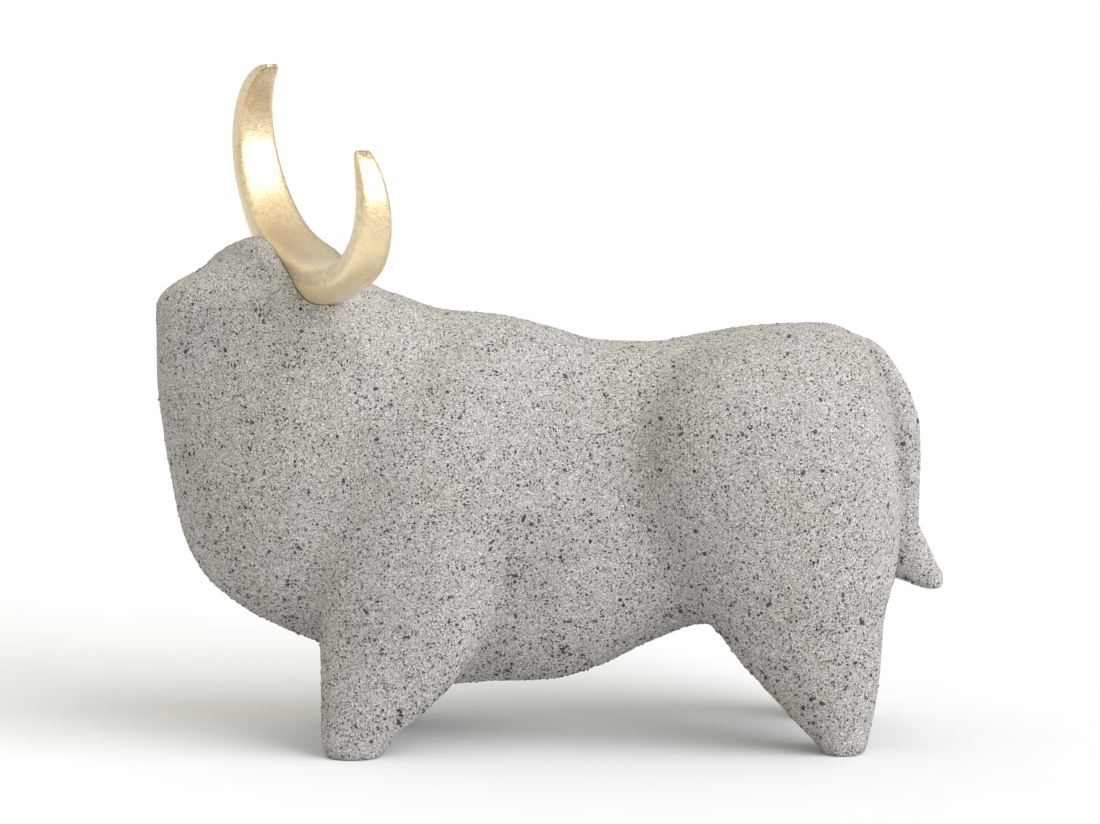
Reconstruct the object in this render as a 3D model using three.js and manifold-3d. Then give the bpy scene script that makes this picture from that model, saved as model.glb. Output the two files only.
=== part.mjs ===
// Ox figurine: a solid cast animal standing on four short legs, its head turned
// to one side, with one crescent of horns seated in a notch across the poll.
// Millimetres. +X towards the tail, -X towards the head, -Y the side the head
// turns to, +Z up. Origin: bottom centre of the whole object's box.
import * as THREE from 'three';
import Module from 'manifold-3d';

const wasm = await Module();
wasm.setup();

// ---------------------------------------------------------------- sizes
const GRID = [9, 7, 7];     // facet pitch of the body along X, Y and Z
const SEAT_GAP = 0.3;        // clearance all round the horns in their notch
const CENTRE_X = 1.21;      // middle of the object's box in the drawing frame
const CENTRE_Y = -14.51;

// Barrel of the body, stations along X: [X, height of back, height of belly, half width]
const BARREL = [
  [-91.5, 188.3, 36.2, 31.5], [-80.5, 191.3, 36.2, 36], [-67, 195.7, 34.2, 39.5], [-49, 193.8, 28.2, 45.5],
  [-22.5, 191.3, 26.7, 45.5], [0, 185.9, 27.7, 44], [22.5, 179.8, 34.2, 40.5], [44.5, 179.1, 44.7, 37.5],
  [67, 182.3, 52.7, 40.5], [89, 185.8, 54.2, 40.5], [111.5, 186.9, 54.2, 43.5], [134, 187, 54.2, 45.5],
  [155, 186.4, 58.7, 41.5],
];
const BARREL_POWER = 2.5;   // 2 = ellipse, more = squarer
const BARREL_WAIST = 0.33;   // level of the widest line between belly and back
const BARREL_TAPER = 0.06;   // narrowing towards the belly
const BARREL_NOSE = 30;      // length of the rounding at the front end
const BARREL_TAIL = 36;      // length of the rounding at the rump
const HOLLOW_DEPTH = 10.5, HOLLOW_X = -30, HOLLOW_REACH = 38, HOLLOW_TOP = 119.5, HOLLOW_FADE = 54.5;   // hollow low on the flank, behind the foreleg

// Legs, stations up Z: [Z, front edge X, rear edge X, middle |Y|, half width]
const FORE = [
  [0, -100.3, -76, 36, 10.4], [2.5, -101.4, -74.1, 36, 11.5], [10, -102.4, -68.3, 36, 12],
  [18.2, -102.4, -58.5, 35.5, 13], [36.2, -102.4, -41, 34.5, 15.5], [53.7, -102.9, -30.5, 33, 19],
  [71.2, -102.9, -28, 33.5, 21.5], [89.2, -98, -25.5, 33.5, 24], [115.2, -88, -22, 32, 26.5],
  [137.2, -82.5, -15.5, 28.5, 28.5], [158.7, -78, -3, 23.5, 29], [176.2, -70.5, 9.5, 20, 29],
];
const HIND = [
  [0, 119.5, 138.3, 36, 10.4], [3.5, 117.5, 139.5, 36, 11.5], [10, 111.3, 141, 36, 12], [27.2, 95.8, 144, 36, 15.5],
  [44.7, 80.4, 145.5, 36, 18.5], [60.2, 70.4, 146.5, 35.5, 22], [80.2, 60, 150, 33, 27.5],
  [97.7, 50.5, 151.5, 31.5, 29], [115.2, 43.5, 152, 30, 30], [132.7, 38, 152.5, 31.5, 28.5],
  [150.2, 32, 154, 31, 28.5], [167.7, 30.5, 155, 27.5, 28.5], [180.7, 33, 155, 23, 27],
];
const LEG_POWER = [2.1, 2];                      // fore, hind
const FILLET = { neck: 25, fore: [2.5, 17], hind: [19, -9], tail: 3 };   // at Z 40, then added up to Z 150
const SHOULDER_FROM = 124.5, SHOULDER_TOP = 165;   // rounding of the foreleg into the shoulder
const HAUNCH_FROM = 106, HAUNCH_TOP = 180;      // rounding of the hind leg into the haunch

// Tail, stations up Z: [Z, front edge X, rear edge X, half width]
const TAIL = [
  [66.7, 169.5, 175.5, 4], [68.2, 165, 176.5, 5.5], [70.7, 158.5, 177, 6.5], [73.2, 151.5, 176.5, 7.5],
  [76.2, 151, 175, 8], [81.2, 150.5, 172.5, 8], [87.7, 149.5, 169.5, 8], [96.7, 148.5, 165.5, 8],
  [126.2, 147.5, 166, 8], [139.7, 146.5, 165.5, 8], [156.7, 143, 160.6, 8], [171.2, 137, 152, 8],
  [178.2, 133, 146.5, 7.5], [183.2, 130, 140.5, 6],
];
const TAIL_LOW = 66.7, TAIL_HIGH = 182, TAIL_CROWN = 9;

// Head and chest, stations up Z: [Z, front X, widest X, rear X, middle Y, half width]
const HEAD = [
  [44.2, -103, -89, -48.5, 11.5, 27.5], [52.2, -123.5, -96.5, -51.5, 11.5, 33.5],
  [61.2, -139, -106, -55.5, 9.5, 38.5], [76.2, -155.5, -112, -58, 7.5, 45], [94.2, -164, -101.5, -61, 5, 48.5],
  [116.2, -168.5, -97, -62.5, 3.5, 50], [139.2, -172, -93, -58, 1.5, 47], [166.2, -174.5, -97, -57.5, -0.5, 42],
  [194.2, -174.5, -102, -52.5, -2, 38.5], [204.2, -174.5, -95, -51, -2, 40.5], [234.2, -174, -95, -50.5, -2, 39],
];
const CHEST_BOTTOM = 39.8, HEAD_POWER = 2.1;

// Head frame, at the middle of the horn crescent: S to the near side, U up, F forward
const HEAD_AT = [-103.14, -28.03, 260.03];
const HEAD_S = [0.42589, -0.84822, -0.31488];
const HEAD_U = [0.15733, -0.2733, 0.94898];
const HEAD_F = [-0.89099, -0.4537, 0.01705];
// Profile of nape, poll and forehead along F: [F, U]
const ROOF = [
  [-115, -114.5], [-80, -90.5], [-46, -65], [-30, -54.5], [-22, -50.5], [-14, -48], [-4, -41], [3, -38], [15, -40.2],
  [25, -49.4], [35, -55], [45, -60.7], [58, -68.6], [80, -80.1],
];
const ROOF_MIDDLE = -10, ROOF_ROUND = 30, ROOF_FALL_NEAR = 0.5, ROOF_FALL_FAR = 1.1;

// Horns: one crescent, a flattened bar swept round an elliptic arc
const HORN_WIDE = 62.86;     // half axis of the arc across the head
const HORN_HIGH = 43.95;     // half axis of the arc up the head
const HORN_SPAN = 2.2953;    // angle from the bottom of the arc to each tip, radians
const HORN_SWEEP = 0.0761;   // forward lean towards the tips
const HORN_IN = 6.2;         // thickness inwards of the arc
const HORN_DEPTH = 12.48;    // half of the front to back thickness
const HORN_ROOT = 8.3;       // extra thickness outwards at the root
const HORN_ROOT_REACH = 35;  // degrees over which the root thins out
const HORN_BACK = 5.2, HORN_BACK_AT = 9, HORN_BACK_REACH = 19;   // extra depth at the back of the root, middle and reach in degrees
const HORN_BROAD = 0.07;     // share by which the arms are broader than the plain taper, at the front and on the far arm at the back
const HORN_RINGS = 40, HORN_SIDES = 18;

// ---------------------------------------------------------------- curves
// Smooth curve through stations that never overshoots them.
function curve(xs, ys) {
  const n = xs.length, h = [], d = [], m = new Array(n).fill(0);
  for (let i = 0; i < n - 1; i++) { h.push(xs[i + 1] - xs[i]); d.push((ys[i + 1] - ys[i]) / h[i]); }
  for (let i = 1; i < n - 1; i++) if (d[i - 1] * d[i] > 0) {
    const a = 2 * h[i] + h[i - 1], b = h[i] + 2 * h[i - 1];
    m[i] = (a + b) / (a / d[i - 1] + b / d[i]);
  }
  m[0] = d[0]; m[n - 1] = d[n - 2];
  return (x) => {
    x = Math.min(Math.max(x, xs[0]), xs[n - 1]);
    let i = 0;
    while (i < n - 2 && x >= xs[i + 1]) i++;
    const t = (x - xs[i]) / h[i], t2 = t * t, t3 = t2 * t;
    return (2 * t3 - 3 * t2 + 1) * ys[i] + (t3 - 2 * t2 + t) * h[i] * m[i] + (3 * t2 - 2 * t3) * ys[i + 1] + (t3 - t2) * h[i] * m[i + 1];
  };
}
const curves = (rows) => rows[0].slice(1).map((_, k) => curve(rows.map((r) => r[0]), rows.map((r) => r[k + 1])));
const clamp = (v, a, b) => Math.min(Math.max(v, a), b);
const ease = (v) => { const q = clamp(v, 0, 1); return q * q * (3 - 2 * q); };

// ---------------------------------------------------------------- distances (mm, negative inside)
// Superellipse of half sizes rx, ry, rounded off along a third direction by u (0 = not yet).
function oval(x, y, rx, ry, p, u = 0, ru = 1) {
  const ax = Math.abs(x) / rx, ay = Math.abs(y) / ry;
  const r = Math.pow(Math.pow(ax, p) + Math.pow(ay, p) + Math.pow(u, p), 1 / p);
  if (r < 0.35) return (r - 1) * Math.min(rx, ry);
  const g = Math.hypot(Math.pow(ax, p - 1) / rx, Math.pow(ay, p - 1) / ry, Math.pow(u, p - 1) / ru) / Math.pow(r, p - 1);
  return (r - 1) / Math.max(g, 1e-4);
}
// Union and intersection with a fillet of size k.
function join(a, b, k) { const h = clamp(0.5 + 0.5 * (b - a) / k, 0, 1); return b + (a - b) * h - k * h * (1 - h); }
const meet = (a, b, k) => -join(-a, -b, k);

const cBarrel = curves(BARREL), cFore = curves(FORE), cHind = curves(HIND), cTail = curves(TAIL), cHead = curves(HEAD), cRoof = curves(ROOF);

function barrel(x, y, z) {
  const top = cBarrel[0](x), low = cBarrel[1](x);
  const x0 = BARREL[0][0] + BARREL_NOSE, x1 = BARREL[BARREL.length - 1][0] - BARREL_TAIL;
  const ru = x > 0 ? BARREL_TAIL : BARREL_NOSE;
  const u = Math.max(x - x1, x0 - x, 0) / ru;
  const mid = low + (top - low) * BARREL_WAIST;
  const s = clamp((mid - z) / (mid - low), 0, 1.2);
  const q = (x - HOLLOW_X) / HOLLOW_REACH;
  const wide = cBarrel[2](x) * (1 - BARREL_TAPER * s * s) - HOLLOW_DEPTH * Math.exp(-q * q) * ease((HOLLOW_TOP - z) / HOLLOW_FADE);
  return oval(y, z - mid, wide, z > mid ? top - mid : mid - low, BARREL_POWER, u, ru);
}
function leg(c, x, y, z, side, power, from, top) {
  const a = c[0](z), b = c[1](z);
  return oval(x - (a + b) / 2, y - side * c[2](z), (b - a) / 2, c[3](z), power, Math.max((z - from) / (top - from), 0), top - from);
}
function head(x, y, z) {
  const mid = cHead[1](z);
  const over = cHead[3](z), shift = over * ease((-48 - x) / 62);      // the front part is set over to one side
  const wide = cHead[4](z) - (y > shift ? 2 * Math.max(over, 0) : 0);   // so that near and far side stay level
  let d = oval(x - mid, y - shift, x < mid ? mid - cHead[0](z) : cHead[2](z) - mid, wide, HEAD_POWER);
  d = meet(d, CHEST_BOTTOM - z, 10);
  const p = [x - HEAD_AT[0], y - HEAD_AT[1], z - HEAD_AT[2]];
  const dot = (v) => p[0] * v[0] + p[1] * v[1] + p[2] * v[2];
  const s = dot(HEAD_S) - ROOF_MIDDLE, u = dot(HEAD_U), f = dot(HEAD_F);
  const roof = cRoof[0](f) - (s > 0 ? ROOF_FALL_NEAR : ROOF_FALL_FAR) * (Math.sqrt(s * s + ROOF_ROUND * ROOF_ROUND) - ROOF_ROUND);
  return meet(d, (u - roof) * 0.9, 8 + 18 * ease((-8 - f) / 45));
}
function tail(x, y, z) {
  const a = cTail[0](z), b = cTail[1](z);
  return meet(meet(oval(x - (a + b) / 2, y, (b - a) / 2, cTail[2](z), 2.3), z - TAIL_HIGH, 3), TAIL_LOW - z, 1.5);
}
function ox(x, y, z) {
  let d = join(barrel(x, y, z), head(x, y, z), FILLET.neck);
  const up = clamp((z - 40) / 110, 0, 1);
  for (const side of [-1, 1]) {
    d = join(d, leg(cFore, x, y, z, side, LEG_POWER[0], SHOULDER_FROM, SHOULDER_TOP), FILLET.fore[0] + FILLET.fore[1] * up);
    d = join(d, leg(cHind, x, y, z, side, LEG_POWER[1], HAUNCH_FROM, HAUNCH_TOP), FILLET.hind[0] + FILLET.hind[1] * up);
  }
  return join(d, tail(x, y, z), FILLET.tail);
}

// ---------------------------------------------------------------- facets
// One vertex in every grid cell the surface crosses, pulled onto the surface.
function skin(f, lo, hi, h) {
  const n = lo.map((v, i) => Math.ceil((hi[i] - v) / h[i]) + 1);
  const id = (i, j, k) => (i * n[1] + j) * n[2] + k;
  const val = new Float64Array(n[0] * n[1] * n[2]);
  for (let i = 0; i < n[0]; i++) for (let j = 0; j < n[1]; j++) for (let k = 0; k < n[2]; k++)
    val[id(i, j, k)] = f(lo[0] + i * h[0], lo[1] + j * h[1], lo[2] + k * h[2]);
  const cell = new Int32Array(val.length).fill(-1), pts = [], tris = [];
  for (let i = 0; i < n[0] - 1; i++) for (let j = 0; j < n[1] - 1; j++) for (let k = 0; k < n[2] - 1; k++) {
    let sx = 0, sy = 0, sz = 0, c = 0;
    for (let a = 0; a < 8; a++) for (const e of [1, 2, 4]) {
      if (a & e) continue;
      const b = a | e;
      const pa = [i + (a & 1), j + ((a >> 1) & 1), k + ((a >> 2) & 1)], pb = [i + (b & 1), j + ((b >> 1) & 1), k + ((b >> 2) & 1)];
      const va = val[id(...pa)], vb = val[id(...pb)];
      if ((va < 0) === (vb < 0)) continue;
      const t = va / (va - vb);
      sx += pa[0] + (pb[0] - pa[0]) * t; sy += pa[1] + (pb[1] - pa[1]) * t; sz += pa[2] + (pb[2] - pa[2]) * t; c++;
    }
    if (!c) continue;
    const at = [lo[0] + sx / c * h[0], lo[1] + sy / c * h[1], lo[2] + sz / c * h[2]];
    const from = at.slice();
    for (let r = 0; r < 4; r++) {
      const e = 0.4, v = f(...at);
      const g = [f(at[0] + e, at[1], at[2]) - f(at[0] - e, at[1], at[2]), f(at[0], at[1] + e, at[2]) - f(at[0], at[1] - e, at[2]), f(at[0], at[1], at[2] + e) - f(at[0], at[1], at[2] - e)].map((q) => q / (2 * e));
      const g2 = g[0] * g[0] + g[1] * g[1] + g[2] * g[2] + 1e-9;
      for (let q = 0; q < 3; q++) at[q] = clamp(at[q] - clamp(v / g2, -2.4, 2.4) * g[q], from[q] - h[q] * 0.45, from[q] + h[q] * 0.45);
    }
    cell[id(i, j, k)] = pts.length; pts.push(at);
  }
  const dist = (a, b) => Math.hypot(pts[a][0] - pts[b][0], pts[a][1] - pts[b][1], pts[a][2] - pts[b][2]);
  const quad = (a, b, c, d, flip) => {
    if (flip) [b, d] = [d, b];
    if (dist(a, c) <= dist(b, d)) tris.push(a, b, c, a, c, d); else tris.push(a, b, d, b, c, d);
  };
  for (let i = 1; i < n[0] - 1; i++) for (let j = 1; j < n[1] - 1; j++) for (let k = 1; k < n[2] - 1; k++) {
    const v = val[id(i, j, k)] < 0;
    if (v !== val[id(i + 1, j, k)] < 0) quad(cell[id(i, j - 1, k - 1)], cell[id(i, j, k - 1)], cell[id(i, j, k)], cell[id(i, j - 1, k)], !v);
    if (v !== val[id(i, j + 1, k)] < 0) quad(cell[id(i - 1, j, k - 1)], cell[id(i - 1, j, k)], cell[id(i, j, k)], cell[id(i, j, k - 1)], !v);
    if (v !== val[id(i, j, k + 1)] < 0) quad(cell[id(i - 1, j - 1, k)], cell[id(i, j - 1, k)], cell[id(i, j, k)], cell[id(i - 1, j, k)], !v);
  }
  return solid(pts, tris);
}
function solid(pts, tris) {
  return new wasm.Manifold(new wasm.Mesh({ numProp: 3, vertProperties: new Float32Array(pts.flat()), triVerts: new Uint32Array(tris) }));
}
function box(lo, hi) {
  const pts = [];
  for (let a = 0; a < 8; a++) pts.push([a & 1 ? hi[0] : lo[0], a & 2 ? hi[1] : lo[1], a & 4 ? hi[2] : lo[2]]);
  return solid(pts, [0, 2, 1, 1, 2, 3, 4, 5, 6, 5, 7, 6, 0, 1, 4, 1, 5, 4, 2, 6, 3, 3, 6, 7, 0, 4, 2, 2, 4, 6, 1, 3, 5, 3, 7, 5]);
}

// ---------------------------------------------------------------- horns
function hornSize(w) {
  const t = Math.min(Math.abs(w) / HORN_SPAN, 1), deg = Math.abs(w) * 180 / Math.PI;
  const inner = HORN_IN * (0.554 * Math.sqrt(Math.max(1 - Math.pow(t, 0.6), 0)) + 0.446 * Math.sqrt(Math.max(1 - Math.pow(t, 8), 0)));
  const taper = HORN_DEPTH * (0.796 * Math.sqrt(Math.max(1 - Math.pow(t, 0.918), 0)) + 0.204);
  const half = taper * (1 + HORN_BROAD * ease(deg / 40));
  const back = (w < 0 ? half : taper) + HORN_BACK / (1 + Math.pow((w * 180 / Math.PI - HORN_BACK_AT) / HORN_BACK_REACH, 4));
  return { inner, half, back, outer: inner + HORN_ROOT / (1 + Math.pow(deg / HORN_ROOT_REACH, 4)), power: 2.4 + 1.4 * ease((deg - 30) / 50) };
}
function horns(grow) {
  const pts = [], tris = [], end = HORN_SPAN * 0.997 + grow / HORN_HIGH;
  for (let i = 0; i <= HORN_RINGS; i++) {
    // rings crowd together towards the tips
    const q = 2 * i / HORN_RINGS - 1, w = end * Math.sin(q * Math.PI / 2 * 0.86) / Math.sin(Math.PI / 2 * 0.86);
    const sz = hornSize(clamp(w, -HORN_SPAN * 0.997, HORN_SPAN * 0.997)), c = Math.cos(w), s = Math.sin(w), len = Math.hypot(HORN_WIDE * c, HORN_HIGH * s);
    const nS = HORN_HIGH * s / len, nU = -HORN_WIDE * c / len, lift = -HORN_HIGH * c + HORN_HIGH;
    for (let j = 0; j < HORN_SIDES; j++) {
      const a = 2 * Math.PI * (j + 0.5) / HORN_SIDES, ca = Math.cos(a), sa = Math.sin(a), out = ca > 0;
      const p = 2 / (out ? sz.power : 4.5), rad = (out ? sz.outer : sz.inner) + grow, half = (sa > 0 ? sz.half : sz.back) + grow;
      const r = Math.sign(ca) * Math.pow(Math.abs(ca), p) * rad, f = Math.sign(sa) * Math.pow(Math.abs(sa), p) * half;
      const S = HORN_WIDE * s + r * nS, U = -HORN_HIGH * c + r * nU, F = HORN_SWEEP * lift * lift / (2 * HORN_HIGH) + f;
      pts.push([0, 1, 2].map((k) => HEAD_AT[k] + S * HEAD_S[k] + U * HEAD_U[k] + F * HEAD_F[k]));
    }
  }
  const at = (i, j) => i * HORN_SIDES + (j + HORN_SIDES) % HORN_SIDES;
  for (let i = 0; i < HORN_RINGS; i++) for (let j = 0; j < HORN_SIDES; j++)
    tris.push(at(i, j), at(i + 1, j), at(i + 1, j + 1), at(i, j), at(i + 1, j + 1), at(i, j + 1));
  for (const [i, flip] of [[0, false], [HORN_RINGS, true]]) {
    const mid = [0, 1, 2].map((k) => { let v = 0; for (let j = 0; j < HORN_SIDES; j++) v += pts[at(i, j)][k]; return v / HORN_SIDES; });
    pts.push(mid);
    for (let j = 0; j < HORN_SIDES; j++) flip ? tris.push(pts.length - 1, at(i, j + 1), at(i, j)) : tris.push(pts.length - 1, at(i, j), at(i, j + 1));
  }
  return solid(pts, tris);
}

// ---------------------------------------------------------------- the two pieces
function piece(name, manifold, color, metalness, roughness) {
  const m = manifold.getMesh(), n = m.numProp, v = new Float32Array(m.vertProperties.length / n * 3);
  for (let i = 0; i < v.length / 3; i++) {
    v[3 * i] = m.vertProperties[n * i] - CENTRE_X;
    v[3 * i + 1] = m.vertProperties[n * i + 1] - CENTRE_Y;
    v[3 * i + 2] = m.vertProperties[n * i + 2];
  }
  const g = new THREE.BufferGeometry();
  g.setAttribute('position', new THREE.BufferAttribute(v, 3));
  g.setIndex(new THREE.BufferAttribute(new Uint32Array(m.triVerts), 1));
  g.computeVertexNormals();
  const mesh = new THREE.Mesh(g, new THREE.MeshStandardMaterial({ color, metalness, roughness, flatShading: false }));
  mesh.name = name;
  return mesh;
}
const LOW = -9;
const rough = skin((x, y, z) => Math.max(ox(x, y, z), LOW + 2 - z), [-184, -68, LOW - 5], [186, 66, 250], GRID);
const body = rough.subtract(box([-300, -200, -60], [300, 200, 0])).subtract(horns(SEAT_GAP));

const figurine = new THREE.Group();
figurine.name = 'ox_figurine';
figurine.add(piece('body', body, 0xaaa69f, 0, 0.95), piece('horns', horns(0), 0xd9bf8a, 1, 0.35));
export default figurine;
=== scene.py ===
import math

import bpy
import numpy as np
from mathutils import Matrix, Vector
from mathutils.kdtree import KDTree


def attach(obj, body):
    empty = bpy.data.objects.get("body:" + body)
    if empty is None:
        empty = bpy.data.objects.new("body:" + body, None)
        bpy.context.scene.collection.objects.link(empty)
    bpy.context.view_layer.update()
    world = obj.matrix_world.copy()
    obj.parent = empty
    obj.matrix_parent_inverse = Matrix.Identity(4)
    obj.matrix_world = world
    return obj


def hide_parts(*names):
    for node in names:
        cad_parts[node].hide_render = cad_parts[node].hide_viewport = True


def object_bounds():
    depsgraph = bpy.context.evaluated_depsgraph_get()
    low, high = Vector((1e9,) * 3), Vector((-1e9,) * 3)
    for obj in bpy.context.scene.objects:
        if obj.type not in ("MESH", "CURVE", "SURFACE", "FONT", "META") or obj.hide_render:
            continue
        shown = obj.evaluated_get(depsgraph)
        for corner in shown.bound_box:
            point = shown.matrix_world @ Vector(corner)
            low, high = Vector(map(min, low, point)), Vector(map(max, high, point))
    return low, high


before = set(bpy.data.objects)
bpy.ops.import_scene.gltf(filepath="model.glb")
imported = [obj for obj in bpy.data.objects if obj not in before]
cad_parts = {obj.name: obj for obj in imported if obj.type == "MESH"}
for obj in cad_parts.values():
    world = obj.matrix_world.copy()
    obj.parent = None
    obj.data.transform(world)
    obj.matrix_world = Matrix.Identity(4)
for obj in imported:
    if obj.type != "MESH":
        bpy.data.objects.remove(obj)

CAD_BOX = [list(v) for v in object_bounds()]
SHIFT = np.array([-1.21, 14.51, 0.0])      # drawing frame to row frame
PITCH = 1.64                               # facet pitch of the stone
SEAT_GAP = 0.3                             # clearance of the horns in their notch
rng = np.random.default_rng(7)

# ---------------------------------------------------------------- named sizes
# Barrel, stations along X: X, back, belly, half width
BARREL = [
    (-91.5, 188.3, 36.2, 31.5), (-80.5, 191.3, 36.2, 36), (-67, 195.7, 34.2, 39.5), (-49, 193.8, 28.2, 45.5),
    (-22.5, 191.3, 26.7, 45.5), (0, 185.9, 27.7, 44), (22.5, 179.8, 34.2, 40.5), (44.5, 179.1, 44.7, 37.5),
    (67, 182.3, 52.7, 40.5), (89, 185.8, 54.2, 40.5), (111.5, 186.9, 54.2, 43.5), (134, 187, 54.2, 45.5),
    (155, 186.4, 58.7, 41.5)]
BARREL_POWER, BARREL_WAIST, BARREL_TAPER, BARREL_NOSE, BARREL_TAIL = 2.5, 0.33, 0.06, 30.0, 36.0
HOLLOW_DEPTH, HOLLOW_X, HOLLOW_REACH, HOLLOW_TOP, HOLLOW_FADE = 10.5, -30, 38, 119.5, 54.5   # hollow low on the flank, behind the foreleg
# Legs, stations up Z: Z, front X, rear X, middle |Y|, half width
FORE = [
    (0, -100.3, -76, 36, 10.4), (2.5, -101.4, -74.1, 36, 11.5), (10, -102.4, -68.3, 36, 12),
    (18.2, -102.4, -58.5, 35.5, 13), (36.2, -102.4, -41, 34.5, 15.5), (53.7, -102.9, -30.5, 33, 19),
    (71.2, -102.9, -28, 33.5, 21.5), (89.2, -98, -25.5, 33.5, 24), (115.2, -88, -22, 32, 26.5),
    (137.2, -82.5, -15.5, 28.5, 28.5), (158.7, -78, -3, 23.5, 29), (176.2, -70.5, 9.5, 20, 29)]
HIND = [
    (0, 119.5, 138.3, 36, 10.4), (3.5, 117.5, 139.5, 36, 11.5), (10, 111.3, 141, 36, 12),
    (27.2, 95.8, 144, 36, 15.5), (44.7, 80.4, 145.5, 36, 18.5), (60.2, 70.4, 146.5, 35.5, 22),
    (80.2, 60, 150, 33, 27.5), (97.7, 50.5, 151.5, 31.5, 29), (115.2, 43.5, 152, 30, 30),
    (132.7, 38, 152.5, 31.5, 28.5), (150.2, 32, 154, 31, 28.5), (167.7, 30.5, 155, 27.5, 28.5),
    (180.7, 33, 155, 23, 27)]
LEG_POWER = (2.1, 2)
FILLET = {"neck": 25, "fore": (2.5, 17), "hind": (19, -9), "tail": 3.0}   # at Z 40, then added up to Z 150
SHOULDER_FROM, SHOULDER_TOP, HAUNCH_FROM, HAUNCH_TOP, HEAD_POWER = 124.5, 165, 106, 180, 2.1
# Tail, stations up Z: Z, front X, rear X, half width
TAIL = [
    (66.7, 169.5, 175.5, 4), (68.2, 165, 176.5, 5.5), (70.7, 158.5, 177, 6.5), (73.2, 151.5, 176.5, 7.5),
    (76.2, 151, 175, 8), (81.2, 150.5, 172.5, 8), (87.7, 149.5, 169.5, 8), (96.7, 148.5, 165.5, 8),
    (126.2, 147.5, 166, 8), (139.7, 146.5, 165.5, 8), (156.7, 143, 160.6, 8), (171.2, 137, 152, 8),
    (178.2, 133, 146.5, 7.5), (183.2, 130, 140.5, 6)]
# Head and chest, stations up Z: Z, front X, widest X, rear X, middle Y, half width
HEAD = [
    (44.2, -103, -89, -48.5, 11.5, 27.5), (52.2, -123.5, -96.5, -51.5, 11.5, 33.5),
    (61.2, -139, -106, -55.5, 9.5, 38.5), (76.2, -155.5, -112, -58, 7.5, 45), (94.2, -164, -101.5, -61, 5, 48.5),
    (116.2, -168.5, -97, -62.5, 3.5, 50), (139.2, -172, -93, -58, 1.5, 47), (166.2, -174.5, -97, -57.5, -0.5, 42),
    (194.2, -174.5, -102, -52.5, -2, 38.5), (204.2, -174.5, -95, -51, -2, 40.5), (234.2, -174, -95, -50.5, -2, 39)]
# Head frame at the middle of the horn crescent: S to the near side, U up, F forward
HEAD_AT = np.array([-103.14, -28.03, 260.03])
HEAD_S = np.array([0.42589, -0.84822, -0.31488])
HEAD_U = np.array([0.15733, -0.27330, 0.94898])
HEAD_F = np.array([-0.89099, -0.45370, 0.01705])
ROOF = [  # profile of nape, poll and forehead: F, U
    (-115, -114.5), (-80, -90.5), (-46, -65), (-30, -54.5), (-22, -50.5), (-14, -48), (-4, -41), (3, -38),
    (15, -40.2), (25, -49.4), (35, -55), (45, -60.7), (58, -68.6), (80, -80.1)]
# Horns: a flattened bar swept round an elliptic arc
HORN_WIDE, HORN_HIGH, HORN_SPAN, HORN_SWEEP = 62.86, 43.95, 2.2953, 0.0761
HORN_IN, HORN_DEPTH, HORN_ROOT, HORN_ROOT_REACH = 6.2, 12.48, 8.3, 35.0
HORN_BACK, HORN_BACK_AT, HORN_BACK_REACH = 5.2, 9.0, 19.0   # extra depth at the back of the root
HORN_BROAD = 0.07                                              # arms broader than the plain taper, in front and at the far arm's back


# ---------------------------------------------------------------- curves and distances (mm, negative inside)
def curve(xs, ys):
    """Smooth curve through stations that never overshoots them."""
    xs, ys = np.asarray(xs, float), np.asarray(ys, float)
    h = np.diff(xs); d = np.diff(ys) / h; n = len(xs); m = np.zeros(n)
    for i in range(1, n - 1):
        if d[i - 1] * d[i] > 0:
            a, b = 2 * h[i] + h[i - 1], h[i] + 2 * h[i - 1]
            m[i] = (a + b) / (a / d[i - 1] + b / d[i])
    m[0], m[-1] = d[0], d[-1]
    def at(x):
        x = np.clip(x, xs[0], xs[-1])
        i = np.clip(np.searchsorted(xs, x, side="right") - 1, 0, n - 2)
        t = (x - xs[i]) / h[i]; t2 = t * t; t3 = t2 * t
        return (2 * t3 - 3 * t2 + 1) * ys[i] + (t3 - 2 * t2 + t) * h[i] * m[i] + (3 * t2 - 2 * t3) * ys[i + 1] + (t3 - t2) * h[i] * m[i + 1]
    return at


def curves(rows):
    return [curve([r[0] for r in rows], [r[k] for r in rows]) for k in range(1, len(rows[0]))]


def ease(v):
    q = np.clip(v, 0, 1)
    return q * q * (3 - 2 * q)


def oval(x, y, rx, ry, p, u=0.0, ru=1.0):
    ax, ay = np.abs(x) / rx, np.abs(y) / ry
    r = (ax ** p + ay ** p + u ** p) ** (1 / p)
    g = np.sqrt((ax ** (p - 1) / rx) ** 2 + (ay ** (p - 1) / ry) ** 2 + (u ** (p - 1) / ru) ** 2) / np.maximum(r, 1e-6) ** (p - 1)
    return np.where(r < 0.35, (r - 1) * np.minimum(rx, ry), (r - 1) / np.maximum(g, 1e-4))


def join(a, b, k):
    h = np.clip(0.5 + 0.5 * (b - a) / k, 0, 1)
    return b + (a - b) * h - k * h * (1 - h)


def meet(a, b, k):
    return -join(-a, -b, k)


c_barrel, c_fore, c_hind, c_tail, c_head, c_roof = [curves(t) for t in (BARREL, FORE, HIND, TAIL, HEAD, sorted(ROOF))]


def barrel(x, y, z):
    top, low, wide = [c(x) for c in c_barrel]
    ru = np.where(x > 0, BARREL_TAIL, BARREL_NOSE)
    u = np.maximum(np.maximum(x - (BARREL[-1][0] - BARREL_TAIL), BARREL[0][0] + BARREL_NOSE - x), 0) / ru
    mid = low + (top - low) * BARREL_WAIST
    s = np.clip((mid - z) / (mid - low), 0, 1.2)
    wide = wide * (1 - BARREL_TAPER * s * s) - HOLLOW_DEPTH * np.exp(-((x - HOLLOW_X) / HOLLOW_REACH) ** 2) * ease((HOLLOW_TOP - z) / HOLLOW_FADE)
    return oval(y, z - mid, wide, np.where(z > mid, top - mid, mid - low), BARREL_POWER, u, ru)


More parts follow.
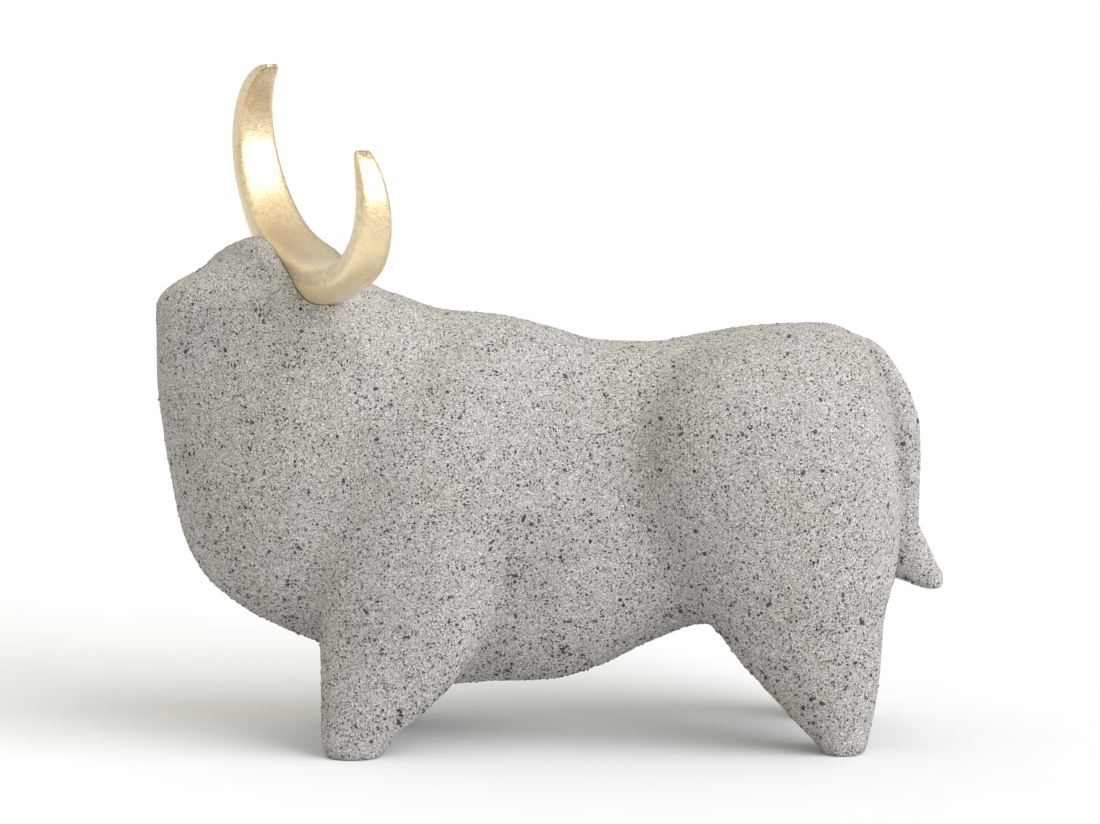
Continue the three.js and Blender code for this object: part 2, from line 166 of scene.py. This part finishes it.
def leg(c, x, y, z, side, power, start, top):
    a, b, mid, wide = [g(z) for g in c]
    return oval(x - (a + b) / 2, y - side * mid, (b - a) / 2, wide, power, np.maximum((z - start) / (top - start), 0), top - start)


def head(x, y, z):
    front, mid, rear, over, wide = [c(z) for c in c_head]
    shift = over * ease((-48 - x) / 62)
    d = oval(x - mid, y - shift, np.where(x < mid, mid - front, rear - mid), wide - np.where(y > shift, 2 * np.maximum(over, 0), 0), HEAD_POWER)
    d = meet(d, 39.8 - z, 10.0)
    px, py, pz = x - HEAD_AT[0], y - HEAD_AT[1], z - HEAD_AT[2]
    s, u, f = [px * v[0] + py * v[1] + pz * v[2] for v in (HEAD_S, HEAD_U, HEAD_F)]
    s = s + 10
    roof = c_roof[0](f) - np.where(s > 0, 0.5, 1.1) * (np.sqrt(s * s + 900) - 30)
    return meet(d, (u - roof) * 0.9, 8 + 18 * ease((-8 - f) / 45))


def tail(x, y, z):
    a, b, wide = [c(z) for c in c_tail]
    return meet(meet(oval(x - (a + b) / 2, y, (b - a) / 2, wide, 2.3), z - 182, 9.0), 66.7 - z, 1.5)


def ox(x, y, z):
    d = join(barrel(x, y, z), head(x, y, z), FILLET["neck"])
    up = np.clip((z - 40) / 110, 0, 1)
    for side in (-1, 1):
        d = join(d, leg(c_fore, x, y, z, side, LEG_POWER[0], SHOULDER_FROM, SHOULDER_TOP), FILLET["fore"][0] + FILLET["fore"][1] * up)
        d = join(d, leg(c_hind, x, y, z, side, LEG_POWER[1], HAUNCH_FROM, HAUNCH_TOP), FILLET["hind"][0] + FILLET["hind"][1] * up)
    d = join(d, tail(x, y, z), FILLET["tail"])
    return meet(d, -z, 1.2)


# ---------------------------------------------------------------- the stone's surface
def skin(f, lo, hi, h):
    """One vertex in every grid cell that the surface crosses, pulled onto the surface; faces are quads."""
    n = [int(math.ceil((hi[a] - lo[a]) / h)) + 1 for a in range(3)]
    ax = [lo[a] + h * np.arange(n[a]) for a in range(3)]
    val = np.concatenate([f(ax[0][i:i + 8, None, None], ax[1][None, :, None], ax[2][None, None, :]) for i in range(0, n[0], 8)])
    inside = val < 0
    total = np.zeros([k - 1 for k in n] + [3]); count = np.zeros([k - 1 for k in n])
    for a in range(3):
        s0 = [slice(None)] * 3; s1 = [slice(None)] * 3
        s0[a], s1[a] = slice(0, -1), slice(1, None)
        va, vb = val[tuple(s0)], val[tuple(s1)]
        cut = inside[tuple(s0)] != inside[tuple(s1)]
        t = np.where(cut, va / np.where(cut, va - vb, 1), 0)
        b, c = [k for k in range(3) if k != a]
        for db in (0, 1):
            for dc in (0, 1):
                # the four cells round an edge
                sl = [slice(None)] * 3
                sl[b] = slice(db, cut.shape[b] - 1 + db)
                sl[c] = slice(dc, cut.shape[c] - 1 + dc)
                hit = cut[tuple(sl)]
                count += hit
                total[..., a] += hit * t[tuple(sl)]
                total[..., b] += hit * db
                total[..., c] += hit * dc
    cells = np.argwhere(count > 0)
    number = np.full(count.shape, -1, np.int64)
    number[tuple(cells.T)] = np.arange(len(cells))
    at = (cells + total[tuple(cells.T)] / count[tuple(cells.T)][:, None]) * h + np.array(lo)
    at, _ = onto(f, at, at.copy(), 0.45 * h, 3)
    quads = []
    for a in range(3):
        s0 = [slice(1, -1)] * 3; s1 = [slice(1, -1)] * 3
        s0[a], s1[a] = slice(0, -1), slice(1, None)
        i0 = inside[tuple(s0)]
        edge = np.argwhere(i0 != inside[tuple(s1)])
        out = i0[tuple(edge.T)]
        edge[:, [k for k in range(3) if k != a]] += 1
        b, c = (a + 1) % 3, (a + 2) % 3
        ring = []
        for db, dc in ((1, 1), (0, 1), (0, 0), (1, 0)):
            e = edge.copy(); e[:, b] -= db; e[:, c] -= dc
            ring.append(number[tuple(e.T)])
        ring = np.stack(ring, -1)
        quads.append(np.where(out[:, None], ring, ring[:, ::-1]))
    return at, np.concatenate(quads)


def slope(f, p, e=0.25):
    """Value and gradient of a distance at points."""
    x, y, z = p.T
    v = f(x, y, z)
    g = np.stack([f(x + e, y, z) - f(x - e, y, z), f(x, y + e, z) - f(x, y - e, z), f(x, y, z + e) - f(x, y, z - e)], -1) / (2 * e)
    return v, g


def onto(f, p, start, reach, times):
    for _ in range(times):
        v, g = slope(f, p)
        p = p - (np.clip(v, -2, 2) / ((g * g).sum(-1) + 1e-9))[:, None] * g
        if reach:
            p = np.clip(p, start - reach, start + reach)
    return p, g / (np.linalg.norm(g, axis=-1, keepdims=True) + 1e-9)


# ---------------------------------------------------------------- horns
def horn_size(w):
    t = np.minimum(np.abs(w) / HORN_SPAN, 1); deg = np.degrees(np.abs(w))
    inner = HORN_IN * (0.554 * np.sqrt(np.maximum(1 - t ** 0.6, 0)) + 0.446 * np.sqrt(np.maximum(1 - t ** 8, 0)))
    taper = HORN_DEPTH * (0.796 * np.sqrt(np.maximum(1 - t ** 0.918, 0)) + 0.204)
    half = taper * (1 + HORN_BROAD * ease(deg / 40))
    back = np.where(w < 0, half, taper) + HORN_BACK / (1 + ((np.degrees(w) - HORN_BACK_AT) / HORN_BACK_REACH) ** 4)
    return inner, half, back, inner + HORN_ROOT / (1 + (deg / HORN_ROOT_REACH) ** 4), 2.4 + 1.4 * ease((deg - 30) / 50)


def horn_mesh(grow, rings, sides, relief=0.0):
    end = HORN_SPAN * 0.997 + grow / HORN_HIGH
    q = np.linspace(-1, 1, rings + 1)
    w = end * np.sin(q * math.pi / 2 * 0.94) / math.sin(math.pi / 2 * 0.94)
    inner, half, back, outer, power = [v[:, None] for v in horn_size(np.clip(w, -HORN_SPAN * 0.997, HORN_SPAN * 0.997))]
    c, s = np.cos(w)[:, None], np.sin(w)[:, None]
    length = np.hypot(HORN_WIDE * c, HORN_HIGH * s)
    ns, nu = HORN_HIGH * s / length, -HORN_WIDE * c / length
    a = (2 * math.pi * (np.arange(sides) + 0.5) / sides)[None, :]
    ca, sa = np.cos(a), np.sin(a)
    p = np.where(ca > 0, 2 / power, 2 / 4.5)
    r = np.sign(ca) * np.abs(ca) ** p * (np.where(ca > 0, outer, inner) + grow)
    f = np.sign(sa) * np.abs(sa) ** p * (np.where(sa > 0, half, back) + grow)
    lift = HORN_HIGH - HORN_HIGH * c
    S = HORN_WIDE * s + r * ns; U = -HORN_HIGH * c + r * nu; F = HORN_SWEEP * lift * lift / (2 * HORN_HIGH) + f
    pts = HEAD_AT + S[..., None] * HEAD_S + U[..., None] * HEAD_U + F[..., None] * HEAD_F
    caps = pts[[0, -1]].mean(1)
    at = np.arange((rings + 1) * sides).reshape(rings + 1, sides)
    nxt = np.roll(at, -1, axis=1)
    quads = np.stack([at[:-1], at[1:], nxt[1:], nxt[:-1]], -1).reshape(-1, 4)
    n = at.size
    ends = [(n, at[0, j], nxt[0, j]) for j in range(sides)] + [(n + 1, nxt[-1, j], at[-1, j]) for j in range(sides)]
    return np.concatenate([pts.reshape(-1, 3), caps]), [tuple(q) for q in quads.tolist()] + [tuple(int(v) for v in e) for e in ends]


# ---------------------------------------------------------------- meshes in the row frame
def to_mesh(name, pts, faces):
    me = bpy.data.meshes.new(name)
    me.from_pydata(((pts + SHIFT) / 1000).tolist(), [], faces if isinstance(faces, list) else faces.tolist())
    me.validate()
    me.update()
    me.polygons.foreach_set("use_smooth", np.ones(len(me.polygons), bool))
    ob = bpy.data.objects.new(name, me)
    bpy.context.scene.collection.objects.link(ob)
    return ob


stone_pts, stone_quads = skin(ox, (-182, -66, -4), (184, 66, 236), PITCH)
stone = to_mesh("stone_body", stone_pts, stone_quads)
seat_pts, seat_faces = horn_mesh(SEAT_GAP, 120, 48)
seat = to_mesh("seat_cutter", seat_pts, seat_faces)
cut = stone.modifiers.new("seat", "BOOLEAN")
cut.operation, cut.solver, cut.object = "DIFFERENCE", "MANIFOLD", seat
bpy.context.view_layer.update()
dg = bpy.context.evaluated_depsgraph_get()
done = bpy.data.meshes.new_from_object(stone.evaluated_get(dg))
stone.modifiers.clear()
stone.data = done
done.name = "stone_body"
bpy.data.objects.remove(seat)
done.set_sharp_from_angle(angle=math.radians(52))                # the rim of the notch stays crisp
print("stone", len(stone_pts), "points", len(stone_quads), "quads; after seat", len(done.vertices), len(done.polygons))

horn_pts, horn_faces = horn_mesh(0.0, 300, 72)
horns = to_mesh("gilt_horns", horn_pts, horn_faces)


# ---------------------------------------------------------------- relief of the casting
def positions(me):
    v = np.empty(len(me.vertices) * 3)
    me.vertices.foreach_get("co", v)
    return v.reshape(-1, 3)


def keep_in_box(v):
    """The visual model stays inside the CAD model's box."""
    return np.clip(v, np.array(CAD_BOX[0]) + 2e-6, np.array(CAD_BOX[1]) - 2e-6)


me = stone.data
v = positions(me)
nrm = np.empty(len(v) * 3); me.vertices.foreach_get("normal", nrm); nrm = nrm.reshape(-1, 3)
free = np.clip((v[:, 2] - 0.0008) / 0.003, 0, 1)                 # the soles stay flat
horn_at = positions(horns.data)                                 # and so does the notch, clear of the horns
tree = KDTree(len(horn_at))
for i, p in enumerate(horn_at):
    tree.insert(p, i)
tree.balance()
for i in np.flatnonzero(((v > horn_at.min(0) - 0.003) & (v < horn_at.max(0) + 0.003)).all(1)):
    free[i] *= min(1, max(0, tree.find(v[i])[2] - 0.0008) / 0.001)
v = v + nrm * (rng.normal(0, 0.00012, len(v)) * free)[:, None]
me.vertices.foreach_set("co", keep_in_box(v).ravel())
me.update()

# Grains set in the surface and standing a little proud: count, smallest and largest radius (mm)
GRIT = [(850, 0.70, 1.60), (3600, 0.42, 0.85)]                  # charcoal, more of it low on the body and under the belly
SAND = [(8600, 0.42, 0.92)]                                     # pale
ICO_V = np.array([(0, 1, 1.618), (0, -1, 1.618), (0, 1, -1.618), (0, -1, -1.618), (1, 1.618, 0), (-1, 1.618, 0), (1, -1.618, 0), (-1, -1.618, 0),
                  (1.618, 0, 1), (-1.618, 0, 1), (1.618, 0, -1), (-1.618, 0, -1)]) / 1.902
ICO_F = [(0, 1, 8), (0, 8, 4), (0, 4, 5), (0, 5, 9), (0, 9, 1), (1, 6, 8), (8, 6, 10), (8, 10, 4), (4, 10, 2), (4, 2, 5), (5, 2, 11), (5, 11, 9), (9, 11, 7),
         (9, 7, 1), (1, 7, 6), (3, 6, 7), (3, 7, 11), (3, 11, 2), (3, 2, 10), (3, 10, 6)]
centre = np.empty(len(me.polygons) * 3); me.polygons.foreach_get("center", centre); centre = centre.reshape(-1, 3) * 1000
face_n = np.empty(len(me.polygons) * 3); me.polygons.foreach_get("normal", face_n); face_n = face_n.reshape(-1, 3)
area = np.empty(len(me.polygons)); me.polygons.foreach_get("area", area)
row_seat = HEAD_AT + SHIFT
cs, cu, cf = [(centre - row_seat) @ k for k in (HEAD_S, HEAD_U, HEAD_F)]
by_horns = (np.abs(cf) < 19) & (cu > -70) & (np.hypot(cs / 74, (cu + 2) / 60) < 1.15)
area = np.where((centre[:, 2] < 2.5) | by_horns, 0, area)
low = 1 - ease((centre[:, 2] - 20) / 120)                       # 1 near the feet, 0 above the belly
under = np.clip((-face_n[:, 2] - 0.1) / 0.5, 0, 1)              # 1 where the surface looks down


def grains(name, sizes, gather, beneath):
    pts, faces = [], []
    weight = area * (1 + gather * low + beneath * under)
    for count, small, large in sizes:
        where = rng.choice(len(area), count, replace=False, p=weight / weight.sum())
        for i in where:
            r = small + (large - small) * rng.random() ** 2.4
            n = face_n[i]
            a = np.cross(n, rng.normal(size=3)); a /= np.linalg.norm(a)
            b = np.cross(n, a)
            spin, _ = np.linalg.qr(rng.normal(size=(3, 3)))
            shape = (ICO_V * rng.uniform(0.72, 1.18, (12, 1))) @ spin
            long, thick = rng.uniform(0.95, 1.45), rng.uniform(0.50, 0.80) * min(1, 0.8 / r)
            local = shape * np.array((r * long, r / long, r * thick))
            local[:, 2] += r * thick * rng.uniform(0.35, 1.0 + 0.35 * low[i]) - local[:, 2].max()
            turned = np.linalg.det(spin) < 0
            faces += [tuple(len(pts) * 12 + k for k in (f[::-1] if turned else f)) for f in ICO_F]
            pts.append(centre[i] + local[:, :1] * a + local[:, 1:2] * b + local[:, 2:] * n)
    ob = to_mesh(name, np.concatenate(pts) - SHIFT, faces)
    ob.data.polygons.foreach_set("use_smooth", np.zeros(len(ob.data.polygons), bool))
    return ob


grit = grains("charcoal_grit", GRIT, 0.6, 6.0)
sand = grains("sand_grains", SAND, 1.0, 0.5)
for ob in (grit, sand, horns):
    ob.data.vertices.foreach_set("co", keep_in_box(positions(ob.data)).ravel())
    ob.data.update()

for ob, slot in ((stone, "body"), (grit, "body"), (sand, "body"), (horns, "horns")):
    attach(ob, "root")
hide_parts("body")
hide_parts("horns")


# ---------------------------------------------------------------- materials
class Nodes:
    """Short hand for building a node tree."""
    def __init__(self, name):
        self.mat = bpy.data.materials.new(name)
        self.mat.use_nodes = True
        self.t = self.mat.node_tree
        self.bsdf = self.t.nodes["Principled BSDF"]
        self.coord = self.t.nodes.new("ShaderNodeTexCoord").outputs["Object"]

    def put(self, sock, v):
        if isinstance(v, bpy.types.NodeSocket):
            self.t.links.new(v, sock)
        else:
            sock.default_value = v

    def noise(self, scale, detail=2.0, rough=0.5, at=None, distortion=0.0):
        n = self.t.nodes.new("ShaderNodeTexNoise")
        self.put(n.inputs["Vector"], at or self.coord)
        n.inputs["Scale"].default_value = scale
        n.inputs["Detail"].default_value = detail
        n.inputs["Roughness"].default_value = rough
        n.inputs["Distortion"].default_value = distortion
        return n

    def cells(self, scale, at=None, feature="F1", randomness=1.0):
        n = self.t.nodes.new("ShaderNodeTexVoronoi")
        n.feature = feature
        self.put(n.inputs["Vector"], at or self.coord)
        n.inputs["Scale"].default_value = scale
        n.inputs["Randomness"].default_value = randomness
        return n

    def math(self, op, a, b=None, c=None, clamp=False):
        n = self.t.nodes.new("ShaderNodeMath")
        n.operation, n.use_clamp = op, clamp
        for k, v in enumerate((a, b, c)):
            if v is not None:
                self.put(n.inputs[k], v)
        return n.outputs[0]

    def span(self, v, a, b, c=0.0, d=1.0, smooth=False):
        n = self.t.nodes.new("ShaderNodeMapRange")
        if smooth:
            n.interpolation_type = "SMOOTHSTEP"
        for k, x in enumerate((v, a, b, c, d)):
            self.put(n.inputs[k], x)
        return n.outputs[0]

    def mix(self, k, a, b, how="MIX"):
        n = self.t.nodes.new("ShaderNodeMix")
        n.data_type, n.blend_type = "RGBA", how
        self.put(n.inputs[0], k)
        self.put(n.inputs[6], a)
        self.put(n.inputs[7], b)
        return n.outputs[2]

    def ramp(self, k, stops):
        n = self.t.nodes.new("ShaderNodeValToRGB")
        self.put(n.inputs[0], k)
        e = n.color_ramp.elements
        e[0].position, e[0].color = stops[0]
        e[1].position, e[1].color = stops[-1]
        for where, colour in stops[1:-1]:
            e.new(where).color = colour
        return n.outputs[0]

    def vec(self, op, a, b=None, scale=None):
        n = self.t.nodes.new("ShaderNodeVectorMath")
        n.operation = op
        self.put(n.inputs[0], a)
        if b is not None:
            self.put(n.inputs[1], b)
        if scale is not None:
            self.put(n.inputs["Scale"], scale)
        return n.outputs["Value" if op in ("DISTANCE", "DOT_PRODUCT") else "Vector"]

    def bump(self, height, distance, strength=1.0, normal=None):
        n = self.t.nodes.new("ShaderNodeBump")
        n.inputs["Strength"].default_value = strength
        n.inputs["Distance"].default_value = distance
        self.put(n.inputs["Height"], height)
        if normal is not None:
            self.put(n.inputs["Normal"], normal)
        return n.outputs[0]

    def split(self, colour):
        n = self.t.nodes.new("ShaderNodeSeparateColor")
        self.put(n.inputs[0], colour)
        return n.outputs


def srgb(r, g, b):
    return tuple(((v / 255 + 0.055) / 1.055) ** 2.4 if v > 10 else v / 255 / 12.92 for v in (r, g, b)) + (1.0,)


def flecks(m, scale, at, share, small, large):
    """Separate flecks: in a share of the cells, a spot of its own size round the cell's point. 1 in a fleck, 0 outside."""
    v = m.cells(scale, at)
    r = m.split(v.outputs["Color"])
    size = m.span(r[1], 0, 1, small * scale, large * scale)      # radius in cell units
    on = m.math("LESS_THAN", r[0], share)
    inside = m.span(v.outputs["Distance"], m.math("MULTIPLY", size, 0.82), m.math("MULTIPLY", size, 1.10), 1, 0, smooth=True)
    return m.math("MULTIPLY", inside, on), r[2]


def stone_material():
    m = Nodes("speckled_cast_stone")
    # sand grains, each of its own tone: most are pale, some grey, a few dark
    wob = m.vec("SUBTRACT", m.noise(1500, 2).outputs["Color"], (0.5, 0.5, 0.5))
    at = m.vec("ADD", m.coord, m.vec("SCALE", wob, scale=0.0005))
    grain = m.cells(2900, at)
    tone = m.split(grain.outputs["Color"])
    coarse = m.cells(1700, at)
    tone2 = m.split(coarse.outputs["Color"])
    base = m.ramp(tone[0], [(0.0, srgb(36, 34, 31)), (0.07, srgb(86, 83, 78)), (0.15, srgb(138, 135, 129)), (0.4, srgb(165, 163, 157)),
                            (0.8, srgb(203, 201, 198)), (1.0, srgb(246, 245, 243))])
    base = m.mix(m.span(tone2[0], 0, 1, 0.0, 0.28), base, srgb(154, 151, 144))
    base = m.mix(m.span(tone2[1], 0.80, 1.0, 0.0, 0.5), base, srgb(222, 221, 217))
    # broad drift of tone and of warmth
    broad = m.noise(16, 3, 0.55).outputs["Fac"]
    base = m.mix(m.span(broad, 0.45, 0.75, 0, 0.35), base, srgb(236, 233, 214), "MULTIPLY")
    base = m.mix(m.span(m.noise(70, 2).outputs["Fac"], 0.4, 0.75, 0, 0.25), base, srgb(222, 220, 215), "MULTIPLY")
    # dark grit of two sizes in the surface; the largest grains are pieces of their own
    bent = m.vec("ADD", m.coord, m.vec("SCALE", m.vec("SUBTRACT", m.noise(800, 3).outputs["Color"], (0.5, 0.5, 0.5)), scale=0.0012))
    high = m.t.nodes.new("ShaderNodeSeparateXYZ")
    m.put(high.inputs[0], m.coord)
    gathered = m.math("MULTIPLY", m.span(high.outputs["Z"], 0.03, 0.21, 1.16, 0.68), m.span(m.noise(85, 3, 0.6).outputs["Fac"], 0.36, 0.64, 0.35, 1.60))
    f1, t1 = flecks(m, 690, bent, m.math("MULTIPLY", gathered, 0.72), 0.00024, 0.00054)
    f2, t2 = flecks(m, 270, bent, m.math("MULTIPLY", gathered, 0.46), 0.00038, 0.00088)
    base = m.mix(m.math("MULTIPLY", f1, 0.93), base, m.mix(t1, srgb(18, 17, 16), srgb(62, 59, 55)))
    base = m.mix(m.math("MULTIPLY", f2, m.span(t2, 0, 1, 0.98, 0.6)), base, m.mix(t2, srgb(20, 19, 18), srgb(60, 58, 54)))
    m.put(m.bsdf.inputs["Base Color"], base)
    m.put(m.bsdf.inputs["Roughness"], m.span(m.math("ADD", f1, f2, clamp=True), 0, 1, 0.92, 0.6))
    m.bsdf.inputs["Specular IOR Level"].default_value = 0.3
    # relief: rounded grains with small pits between them, the grit a little proud
    height = m.math("ADD", m.math("MULTIPLY", m.span(grain.outputs["Distance"], 0, 0.9, 1, 0), 0.5), m.math("MULTIPLY", tone[1], 0.6))
    height = m.math("ADD", height, m.math("MULTIPLY", m.span(coarse.outputs["Distance"], 0, 0.9, 1, 0), 0.6))
    height = m.math("ADD", height, m.math("MULTIPLY", m.math("ADD", f1, f2), 0.6))
    n1 = m.bump(m.noise(300, 3, 0.6).outputs["Fac"], 0.0006, 0.5)
    m.put(m.bsdf.inputs["Normal"], m.bump(height, 0.00034, 0.9, n1))
    return m.mat


def grit_material():
    m = Nodes("charcoal_grit")
    patch = m.cells(520)
    tone = m.split(patch.outputs["Color"])
    fine = m.noise(2600, 3, 0.6).outputs["Fac"]
    base = m.mix(tone[0], srgb(24, 23, 22), srgb(72, 69, 64))
    base = m.mix(m.span(fine, 0.48, 0.7, 0, 0.5), base, srgb(112, 108, 101))
    m.put(m.bsdf.inputs["Base Color"], base)
    m.put(m.bsdf.inputs["Roughness"], m.span(fine, 0.3, 0.7, 0.45, 0.75))
    m.put(m.bsdf.inputs["Normal"], m.bump(fine, 0.0002, 0.7))
    return m.mat


def gilt_material():
    m = Nodes("gold_leaf")
    leaf = m.noise(340, 4, 0.62, distortion=0.5).outputs["Fac"]
    crinkle = m.cells(1150, m.vec("ADD", m.coord, m.vec("SCALE", m.vec("SUBTRACT", m.noise(900, 2).outputs["Color"], (0.5, 0.5, 0.5)), scale=0.0012)))
    tone = m.split(crinkle.outputs["Color"])
    broad = m.noise(32, 3, 0.6).outputs["Fac"]
    base = m.mix(m.span(broad, 0.3, 0.7), srgb(221, 199, 155), srgb(235, 219, 181))
    base = m.mix(m.span(leaf, 0.54, 0.74, 0, 0.40), base, srgb(200, 168, 114))
    base = m.mix(tone[1], base, srgb(236, 230, 219), "MULTIPLY")
    base = m.mix(m.span(tone[2], 0.80, 1.0, 0, 0.55), base, srgb(182, 148, 98))
    # painted shade: darker, browner leaf in the hollow near the root; painted light: paler leaf on the lower outer
    # curve
    hub = tuple(((HEAD_AT + SHIFT) / 1000).tolist())
    from_hub = m.vec("SUBTRACT", m.coord, hub)
    s_at = m.math("DIVIDE", m.vec("DOT_PRODUCT", from_hub, tuple(HEAD_S.tolist())), HORN_WIDE / 1000)
    u_at = m.math("DIVIDE", m.vec("DOT_PRODUCT", from_hub, tuple(HEAD_U.tolist())), HORN_HIGH / 1000)
    round_at = m.math("SQRT", m.math("ADD", m.math("MULTIPLY", s_at, s_at), m.math("MULTIPLY", u_at, u_at)))
    front_at = m.vec("DOT_PRODUCT", from_hub, tuple(HEAD_F.tolist()))
    inner = m.span(round_at, 0.95, 1.04, 1, 0, smooth=True)
    rooted = m.math("MULTIPLY", m.span(m.math("ABSOLUTE", s_at), 0.22, 0.44, 1, 0, smooth=True), m.span(u_at, 0.0, -0.5))
    # painted shade: browner leaf in the root hollow, stronger towards its front edge, in place of dimmer reflections
    painted_shade = m.math("MULTIPLY", m.math("MULTIPLY", rooted, inner), m.span(front_at, -0.006, 0.010, 0.25, 0.95))
    base = m.mix(painted_shade, base, srgb(194, 164, 119))
    # painted light: paler leaf on the lower outer curve, in place of a brighter reflection there
    painted_light = m.math("MULTIPLY", m.span(u_at, 0.2, -0.3, smooth=True), m.span(round_at, 1.03, 1.075, smooth=True))
    base = m.mix(m.math("MULTIPLY", painted_light, 0.9), base, srgb(252, 228, 178))
    base = m.mix(m.span(m.noise(620, 4, 0.65).outputs["Fac"], 0.50, 0.68, 0, 0.35), base, srgb(208, 180, 130))
    pit, _ = flecks(m, 900, m.coord, 0.05, 0.00018, 0.00036)
    base = m.mix(m.math("MULTIPLY", pit, 0.55), base, srgb(128, 98, 62))
    # the leaf is rubbed through in pits at the two tips
    near_tip = None
    for w in (-HORN_SPAN, HORN_SPAN):
        tip = (HEAD_AT + HORN_WIDE * math.sin(w) * HEAD_S - HORN_HIGH * math.cos(w) * HEAD_U
               + HORN_SWEEP * HORN_HIGH * (1 - math.cos(w)) ** 2 / 2 * HEAD_F + SHIFT) / 1000
        gap = m.vec("DISTANCE", m.coord, tuple(tip.tolist()))
        k = m.span(gap, 0.0025, 0.0075, 1, 0)
        near_tip = k if near_tip is None else m.math("MAXIMUM", near_tip, k)
    worn = m.math("MULTIPLY", near_tip, m.span(m.noise(700, 3, 0.6, distortion=0.6).outputs["Fac"], 0.50, 0.60))
    base = m.mix(m.math("MULTIPLY", worn, 0.8), base, srgb(132, 98, 58))
    m.put(m.bsdf.inputs["Base Color"], base)
    m.bsdf.inputs["Metallic"].default_value = 0.84
    m.bsdf.inputs["Coat Weight"].default_value = 1.0
    m.bsdf.inputs["Coat IOR"].default_value = 1.9
    m.bsdf.inputs["Coat Roughness"].default_value = 0.24
    m.put(m.bsdf.inputs["Roughness"], m.math("MAXIMUM", m.span(leaf, 0.3, 0.7, 0.27, 0.40), m.math("MULTIPLY", worn, 0.6)))
    n1 = m.bump(leaf, 0.00030, 0.55)
    sparkle = m.math("ADD", m.math("MULTIPLY", tone[0], 0.5), m.noise(1000, 3, 0.65).outputs["Fac"])
    m.put(m.bsdf.inputs["Normal"], m.bump(m.math("SUBTRACT", sparkle, worn), 0.00036, 0.95, n1))
    return m.mat


cast = stone_material()
for ob, mat in ((stone, cast), (sand, cast), (grit, grit_material()), (horns, gilt_material())):
    ob.data.materials.clear()
    ob.data.materials.append(mat)

# ---------------------------------------------------------------- floor, light, camera
floor_me = bpy.data.meshes.new("floor")
floor_me.from_pydata([(-6, -6, 0), (6, -6, 0), (6, 6, 0), (-6, 6, 0)], [], [(0, 1, 2, 3)])
floor = bpy.data.objects.new("floor", floor_me)
bpy.context.scene.collection.objects.link(floor)
fm = Nodes("pale_floor")
fm.put(fm.bsdf.inputs["Base Color"], fm.mix(fm.noise(30, 2).outputs["Fac"], srgb(222, 222, 224), srgb(227, 227, 229)))
fm.bsdf.inputs["Roughness"].default_value = 0.9
fm.bsdf.inputs["Specular IOR Level"].default_value = 0.1
floor_me.materials.append(fm.mat)

world = bpy.data.worlds.new("studio")
bpy.context.scene.world = world
world.use_nodes = True
wt = world.node_tree
# a soft white room: brighter above and on the viewer's side, dimmer behind
ray = wt.nodes.new("ShaderNodeTexCoord").outputs["Generated"]
xyz = wt.nodes.new("ShaderNodeSeparateXYZ")
wt.links.new(ray, xyz.inputs[0])


def world_span(sock, a, b, c, d):
    n = wt.nodes.new("ShaderNodeMapRange")
    n.interpolation_type = "SMOOTHSTEP"
    wt.links.new(sock, n.inputs[0])
    for k, x in enumerate((a, b, c, d)):
        n.inputs[k + 1].default_value = x
    return n.outputs[0]


total = wt.nodes.new("ShaderNodeMath")
total.operation = "ADD"
wt.links.new(world_span(xyz.outputs["Y"], 0.7, -0.7, 0.34, 0.51), total.inputs[0])
wt.links.new(world_span(xyz.outputs["Z"], 0.1, 0.95, 0.0, 0.46), total.inputs[1])
wt.links.new(total.outputs[0], wt.nodes["Background"].inputs[1])
wt.nodes["Background"].inputs[0].default_value = (1.028, 1.01, 0.883, 1)


def lamp(name, azimuth, elevation, spread, strength, colour=(1, 1, 1)):
    """A broad soft light far away. Azimuth 0 stands behind the viewer, 90 on the right."""
    light = bpy.data.lights.new(name, "SUN")
    light.angle, light.energy, light.color = math.radians(spread), strength, colour
    ob = bpy.data.objects.new(name, light)
    a, e = math.radians(azimuth), math.radians(elevation)
    ob.rotation_mode = "QUATERNION"
    ob.rotation_quaternion = Vector((math.sin(a) * math.cos(e), -math.cos(a) * math.cos(e), math.sin(e))).to_track_quat("Z", "Y")
    bpy.context.scene.collection.objects.link(ob)


lamp("key", 57, 32, 54, 2.98, (0.962, 0.955, 1.045))
lamp("top", 57, 67, 28, 0.24, (0.97, 0.96, 1.04))
lamp("rim", -124, 15, 110, 0.9)

# the photograph's camera: 2 m away, 9 degrees above, turned 2 degrees towards the head
cam_data = bpy.data.cameras.new("camera")
cam_data.sensor_width = 36.0
cam_data.lens = 4484 / 1100 * 36.0
cam_data.clip_start, cam_data.clip_end = 0.05, 50
camera = bpy.data.objects.new("camera", cam_data)
tilt, turn = math.radians(9), math.radians(2)
back = Vector((-math.sin(turn) * math.cos(tilt), -math.cos(turn) * math.cos(tilt), math.sin(tilt)))
aim = Vector((SHIFT[0] / 1000, SHIFT[1] / 1000, 0.1478))
camera.location = aim + back * 2.0
camera.rotation_mode = "QUATERNION"
right = Vector((math.cos(turn), -math.sin(turn), 0))
camera.rotation_quaternion = Matrix((right, back.cross(right), back)).transposed().to_quaternion()
bpy.context.scene.collection.objects.link(camera)
bpy.context.scene.camera = camera
bpy.context.scene.view_settings.view_transform = "Standard"
bpy.context.scene.view_settings.exposure = 0.0
